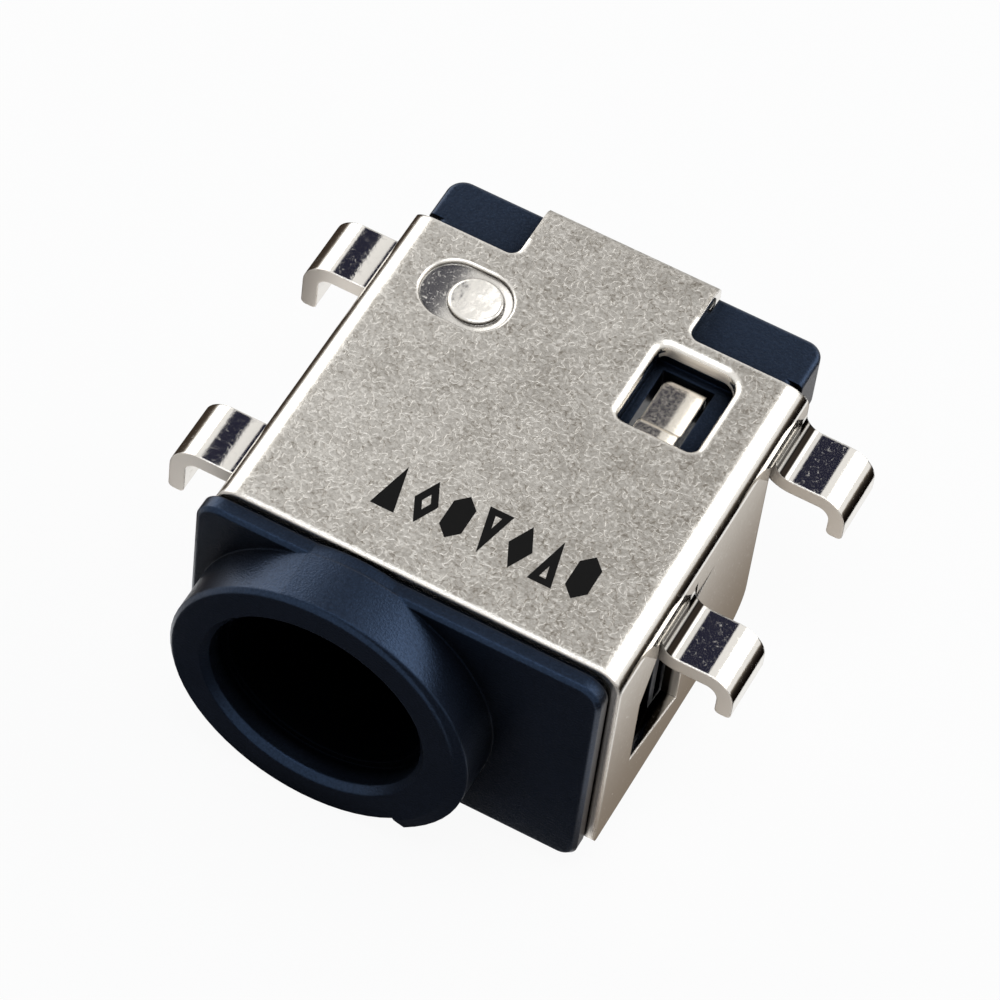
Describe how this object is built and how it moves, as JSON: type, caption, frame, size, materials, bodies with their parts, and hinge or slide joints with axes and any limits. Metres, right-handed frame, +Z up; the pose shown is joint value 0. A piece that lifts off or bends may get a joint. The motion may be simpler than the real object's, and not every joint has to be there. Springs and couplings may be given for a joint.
{
  "type": "dc barrel jack",
  "caption": "Shielded barrel power jack for a circuit board cut-out, with a folded metal shell on hook legs over a moulded body.",
  "frame": {"origin": "centre of the plug bore's mouth, on the collar's front face", "axes": "+Y into the jack along the bore, +Z up from the board to the shell's top plate, +X to the right as a plug sees it"},
  "size_m": [0.0155, 0.0143, 0.0083],
  "materials": {
    "moulding": "fine matte, blue-black",
    "shell_sheet": "satin nickel plate with a fine embossed grain",
    "pin": "bright nickel plate",
    "contact_strip": "bright tin plate"
  },
  "bodies": {
    "root": {"insulator_housing": "moulding", "shield_shell": "shell_sheet", "centre_pin": "pin", "pin_terminal": "contact_strip", "sleeve_spring": "contact_strip"}
  },
  "joints": []
}
